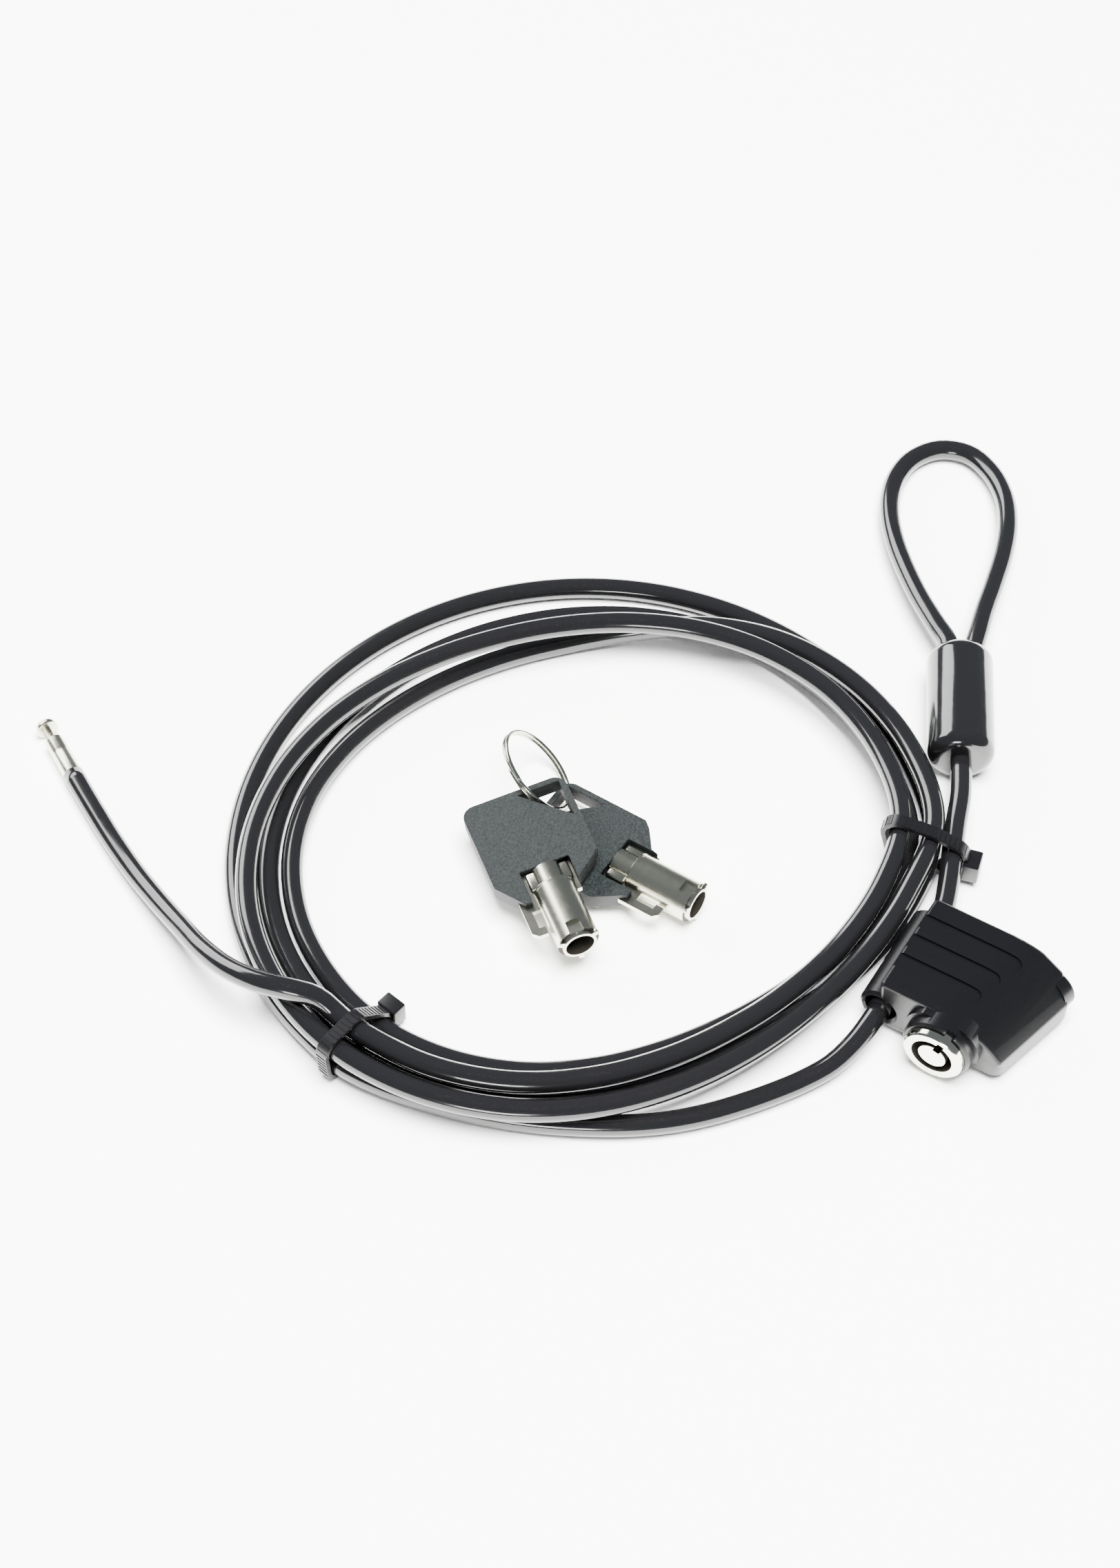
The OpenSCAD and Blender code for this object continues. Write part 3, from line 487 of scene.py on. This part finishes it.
lock = {"mouth": (0, -15.45, 6.4), "keyway": 3.95, "post": 2.45, "cylinderDepths": (0.3, 6),
        "coreDepths": (0.5, 9), "bevel": 0.08, "pinBevel": 0.05}
mouth = posed(lock["mouth"], heading=90)  # its X runs into the lock
cylinder = dressed("lock_cylinder", chromePlate, lock["bevel"])
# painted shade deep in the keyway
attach(shadeBore(cylinder, mouth, lock["cylinderDepths"], lock["keyway"]), "push_lock")
core = dressed("cylinder_core", chromePlate, lock["bevel"])
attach(shadeBore(core, mouth, lock["coreDepths"], lock["keyway"], lock["post"]), "lock_core")
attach(dressed("tumbler_pins", turnedBrass, lock["pinBevel"]), "lock_core")

hiddenMetal = {"shell_screws": drawnSteel, "latch_slide": drawnSteel, "return_spring": drawnSteel,
               "ferrule_crimp": swagedAluminium}
for node, material in hiddenMetal.items():
    nodes[node].data.materials[0] = material
print("housing and lock ready")

# sleeve over the loop's crimp, and the plug

length, rounding, steps = ferrule["length"], ferrule["rounding"], ferrule["arcSteps"]
arcRadius = ferrule["radius"] - rounding
sleeveProfile = ([(0, 0)] + arcPoints((rounding, arcRadius), rounding, 180, 90, steps)
                 + arcPoints((length - rounding, arcRadius), rounding, 90, 0, steps) + [(length, 0)])
sleeve = lathe("ferruleSleeve", sleeveProfile, ferrule["sides"], ferruleMatrix, dippedVinyl, degrees=60)
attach(sleeve, "housing")
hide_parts("ferrule_sleeve")

# lengths along the plug, radii across it, and how long and how deep its small steps are
plug = {"place": routes["tail"][-1], "heading": headingOf(routes["tail"][-2], routes["tail"][-1]),
        "length": 13.5, "tip": 1.5, "neckLength": 2.4, "crimpEnd": 5, "bodyStart": 5.8, "lipStart": 5.5,
        "head": 2.1, "body": 1.8, "neck": 0.7, "crimp": 1.85, "nose": 0.9, "edge": 0.1,
        "crimpEdge": 0.25, "lip": 0.05, "taperStart": 0.7, "taperEnd": 0.2, "taperRise": 0.15,
        "edgeSteps": 2, "noseSteps": 6, "sides": 40}
neckEnd = plug["length"] - plug["tip"]
neckStart = neckEnd - plug["neckLength"]
edgeMiddle = (neckEnd + plug["edge"], plug["head"] - plug["edge"])
noseMiddle = (plug["length"] - plug["nose"], plug["head"] - plug["nose"])
plugProfile = ([(0, 0), (0, plug["crimp"] - plug["crimpEdge"]), (plug["crimpEdge"], plug["crimp"]),
                (plug["crimpEnd"], plug["crimp"]), (plug["lipStart"], plug["body"] - plug["lip"]),
                (plug["bodyStart"], plug["body"]), (neckStart - plug["taperStart"], plug["body"]),
                (neckStart - plug["taperEnd"], plug["neck"] + plug["taperRise"]), (neckStart, plug["neck"]),
                (neckEnd, plug["neck"]), (neckEnd, plug["head"] - plug["edge"])]
               + arcPoints(edgeMiddle, plug["edge"], 180, 90, plug["edgeSteps"])
               + arcPoints(noseMiddle, plug["nose"], 90, 0, plug["noseSteps"]) + [(plug["length"], 0)])
plugPlace = posed(plug["place"], plug["heading"])
plugPiece = lathe("plugHead", plugProfile, plug["sides"], plugPlace, nickelPlate, degrees=40)
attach(plugPiece, "housing")
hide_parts("plug")
print("ferrule and plug ready")

# keys: X runs towards the barrel's open end, where x is 0; a pose is place, heading, climb and roll

keyPoses = {"key_1": ((-63.14, -27.44, 7.8), -38.4, 0, 6), "key_2": ((-50.86, -7.01, 4.35), -3, 1.4, 0)}
key = {"barrel": 3.85, "barrelWall": 0.4, "boreDepths": (-11, -0.1), "bowBevel": 0.28, "bladeBevel": 0.1,
       "shoulderBack": -17.4, "shoulderFront": -13.4, "shoulderWidth": 8.2, "shoulderHeight": 2.6,
       "shoulderRounding": 0.6, "bandBack": -13.2, "bandFront": -12.45, "bandRise": 0.08, "bandSink": 0.1,
       "backSlope": 0.2, "frontSlope": 0.15, "sides": 48,
       "lugs": 3, "firstLug": 60, "lugLength": 0.7, "lugWidth": 1.1, "lugSink": 0.9, "lugRise": 0.3,
       "lugRounding": 0.12}


def rootBand(name, matrix):
    # a thin raised band round the barrel's root
    low, high = key["barrel"] - key["bandSink"], key["barrel"] + key["bandRise"]
    back, front = key["bandBack"], key["bandFront"]
    profile = [(back, 0), (back, low), (back + key["backSlope"], high), (front - key["frontSlope"], high),
               (front, low), (front, 0)]
    return lathe(name + "RootBand", profile, key["sides"], matrix, nickelPlate, degrees=35)


def keyShoulder(name, matrix):
    # the root of the barrel, lying in the bow's recess
    width, height = key["shoulderWidth"] / 2, key["shoulderHeight"] / 2
    return roundedBlock(name + "Shoulder", (key["shoulderBack"], -width, -height),
                        (key["shoulderFront"], width, height), key["shoulderRounding"], matrix, nickelPlate)


def keyLug(name, index, matrix):
    # a small stud at the barrel's open end
    turn = Matrix.Rotation(math.radians(key["firstLug"] + 360 / key["lugs"] * index), 4, "X")
    low = (-key["lugLength"], -key["lugWidth"] / 2, key["barrel"] - key["lugSink"])
    high = (0, key["lugWidth"] / 2, key["barrel"] + key["lugRise"])
    lugName = name + "Lug" + str(index)
    return roundedBlock(lugName, low, high, key["lugRounding"], matrix @ turn, nickelPlate, segments=2)


for name, pose in keyPoses.items():
    matrix = posed(*pose)
    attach(dressed(name + "_bow", sparkNylon, key["bowBevel"], degrees=40, segments=3), "housing")
    blade = dressed(name + "_blade", nickelPlate, key["bladeBevel"], degrees=40)
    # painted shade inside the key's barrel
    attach(shadeBore(blade, matrix, key["boreDepths"], key["barrel"] - key["barrelWall"]), "housing")
    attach(keyShoulder(name, matrix), "housing")
    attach(rootBand(name, matrix), "housing")
    for index in range(key["lugs"]):
        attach(keyLug(name, index, matrix), "housing")

# split ring: two coils of wire and a step from one to the other, whose place and length are in turns

ring = {"place": (-90.1, 2.35, 6.95), "tilt": 47.6, "azimuth": 42.1, "diameter": 16.7, "wire": 0.7,
        "turns": 2.06, "steps": 72, "sides": 16, "pitch": 0.72, "start": 200, "stepAt": 0.86,
        "stepLength": 0.28}
ringMatrix = posed(ring["place"], ring["azimuth"], -ring["tilt"])
ringRadius = ring["diameter"] / 2 * mm
ringLine = []
for i in range(int(ring["steps"] * ring["turns"]) + 1):
    a = math.radians(ring["start"] + 360 / ring["steps"] * i)
    rise = ring["pitch"] * (ease((i / ring["steps"] - ring["stepAt"]) / ring["stepLength"]) - 0.5)
    ringLine.append(ringMatrix @ Vector((ringRadius * math.cos(a), ringRadius * math.sin(a), rise * mm)))
ringPiece, _ = tube("splitRing", ringLine, ring["wire"] / 2 * mm, ring["sides"], drawnSteel)
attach(ringPiece, "ring")
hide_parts("key_ring")
print("keys and ring ready")

# cable ties: a strap pulled round the strands, ribs across it, and a head beside them
# a rib's size is along the strap, across it and out of it; the head's is away from it, across and up

tie = {"width": 2.5, "thickness": 0.8, "gap": 0.35, "ribStep": 1.0, "rib": (0.35, 2.1, 0.22),
       "ribsAbove": 1.5, "head": (3, 4.2, 4.6), "headGap": 0.1, "headRounding": 0.35, "rightAngle": 29.3,
       "linkSlot": (68, 5.8)}
rightStep = (coil["rightTie"] - tie["rightAngle"]) / shortSpan
rightSlots = [strandAt(rightStep, right, coil["leftSlots"][i + 1], coil["nearArcs"][i])
              for i, right in enumerate(coil["rightSlots"])]
tiePlaces = {"tie_right": {"angle": tie["rightAngle"], "turn": -16, "middle": 62, "side": 1,
                           "headHeight": 3.6, "slots": rightSlots + [tie["linkSlot"]]},
             "tie_left": {"angle": coil["leftTie"], "turn": 0, "middle": 57, "side": -1,
                          "headHeight": 3.2, "slots": coil["leftSlots"]}}


def turnsLeft(a, b, c):
    return (b[0] - a[0]) * (c[1] - a[1]) > (b[1] - a[1]) * (c[0] - a[0])


def hullAround(slots, r, steps=64):
    # the outline of a band pulled round circles of radius r at the slots, in the plane of radius and height
    angles = [2 * math.pi * k / steps for k in range(steps)]
    points = sorted(set((round(s[0] + r * math.cos(a), 5), round(s[1] + r * math.sin(a), 5))
                        for s in slots for a in angles))

    def chain(order):
        out = []
        for p in order:
            while len(out) > 1 and not turnsLeft(out[-2], out[-1], p):
                out.pop()
            out.append(p)
        return out[:-1]

    return [Vector(p) for p in chain(points) + chain(points[::-1])]


def bandNormals(band):
    ways = [band[(i + 1) % len(band)] - band[i - 1] for i in range(len(band))]
    return [Vector((way.y, -way.x)).normalized() for way in ways]


def strap(name, band, normals, matrix):
    vertices, faces = [], []
    side = tie["width"] / 2
    for p, n in zip(band, normals):
        q = p + n * tie["thickness"]
        vertices += metres([(p.x, -side, p.y), (q.x, -side, q.y), (q.x, side, q.y), (p.x, side, p.y)])
    for i in range(len(band)):
        j = (i + 1) % len(band)
        faces += [(i * 4 + k, i * 4 + (k + 1) % 4, j * 4 + (k + 1) % 4, j * 4 + k) for k in range(4)]
    piece = meshObject(name + "Strap", vertices, faces, mouldedNylon)
    piece.data.transform(matrix)
    return smoothByAngle(outward(piece), meshing["blockSmooth"])


def ribTree():
    # a small bar on each seed point, leant by the point's own angle
    tree = bpy.data.node_groups.new("tieRibs", "GeometryNodeTree")
    sockets = {"Seeds": "NodeSocketGeometry", "Bar size": "NodeSocketVector",
               "Material": "NodeSocketMaterial"}
    for label, kind in sockets.items():
        tree.interface.new_socket(label, in_out="INPUT", socket_type=kind)
    tree.interface.new_socket("Ribs", in_out="OUTPUT", socket_type="NodeSocketGeometry")
    entry = addNode(tree, "NodeGroupInput").outputs
    lean = addNode(tree, "GeometryNodeInputNamedAttribute", {"data_type": "FLOAT"}, {"Name": "lean"})
    angles = addNode(tree, "ShaderNodeCombineXYZ", links={"Y": lean.outputs["Attribute"]})
    bar = addNode(tree, "GeometryNodeMeshCube", links={"Size": entry["Bar size"]})
    bars = addNode(tree, "GeometryNodeInstanceOnPoints",
                   links={"Points": entry["Seeds"], "Instance": bar.outputs["Mesh"],
                          "Rotation": angles.outputs["Vector"]})
    real = addNode(tree, "GeometryNodeRealizeInstances", links={"Geometry": bars.outputs["Instances"]})
    finish = addNode(tree, "GeometryNodeSetMaterial",
                     links={"Geometry": real.outputs["Geometry"], "Material": entry["Material"]})
    addNode(tree, "NodeGroupOutput", links={"Ribs": finish.outputs["Geometry"]})
    return tree, {item.name: item.identifier for item in tree.interface.items_tree if item.in_out == "INPUT"}


def ribSeeds(band, normals):
    # a point every rib step round the strap's outside, except under it, and the lean of the strap there
    seeds, leans, gone = [], [], 0
    for i, start in enumerate(band):
        j = (i + 1) % len(band)
        step = (band[j] - start).length
        while gone < step:
            n = normals[i].lerp(normals[j], gone / step).normalized()
            seed = start.lerp(band[j], gone / step) + n * tie["thickness"]
            if seed.y > tie["ribsAbove"]:
                seeds.append((seed.x, 0, seed.y))
                leans.append(math.atan2(n.x, n.y))
            gone += tie["ribStep"]
        gone -= step
    return metres(seeds), leans


def strapRibs(name, band, normals, matrix):
    seeds, leans = ribSeeds(band, normals)
    mesh = bpy.data.meshes.new(name + "Ribs")
    mesh.from_pydata(seeds, [], [])
    mesh.attributes.new("lean", "FLOAT", "POINT").data.foreach_set("value", leans)
    piece = bpy.data.objects.new(name + "Ribs", mesh)
    bpy.context.collection.objects.link(piece)
    modifier = piece.modifiers.new("ribs", "NODES")
    modifier.node_group = ribs
    modifier[ribInput["Bar size"]] = [c * mm for c in tie["rib"]]
    modifier[ribInput["Material"]] = mouldedNylon
    applyModifiers(piece)
    piece.data.transform(matrix)
    return piece


def tieHead(name, reach, side, height, matrix):
    deep, wide, tall = tie["head"]
    start = reach + side * tie["headGap"]
    near, far = sorted((start, start + side * deep))
    low, high = (near, -wide / 2, height - tall / 2), (far, wide / 2, height + tall / 2)
    return roundedBlock(name + "Head", low, high, tie["headRounding"], matrix, mouldedNylon)


ribs, ribInput = ribTree()
for name, place in tiePlaces.items():
    turn, middle, side = place["turn"], place["middle"], place["side"]
    matrix = posed(onCoil(place["angle"], middle, 0), place["angle"] + turn)
    slots = [((r - middle) / math.cos(math.radians(turn)), z) for r, z in place["slots"]]
    clear = cable["diameter"] / 2 + tie["gap"]
    band = hullAround(slots, clear)
    normals = bandNormals(band)
    strapPiece = strap(name, band, normals, matrix)
    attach(strapPiece, "housing")
    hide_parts(name)
    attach(strapRibs(name, band, normals, matrix), "housing")
    reach = side * (max(side * x for x, _ in slots) + clear)
    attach(tieHead(name, reach, side, place["headHeight"], matrix), "housing")
print("ties ready")
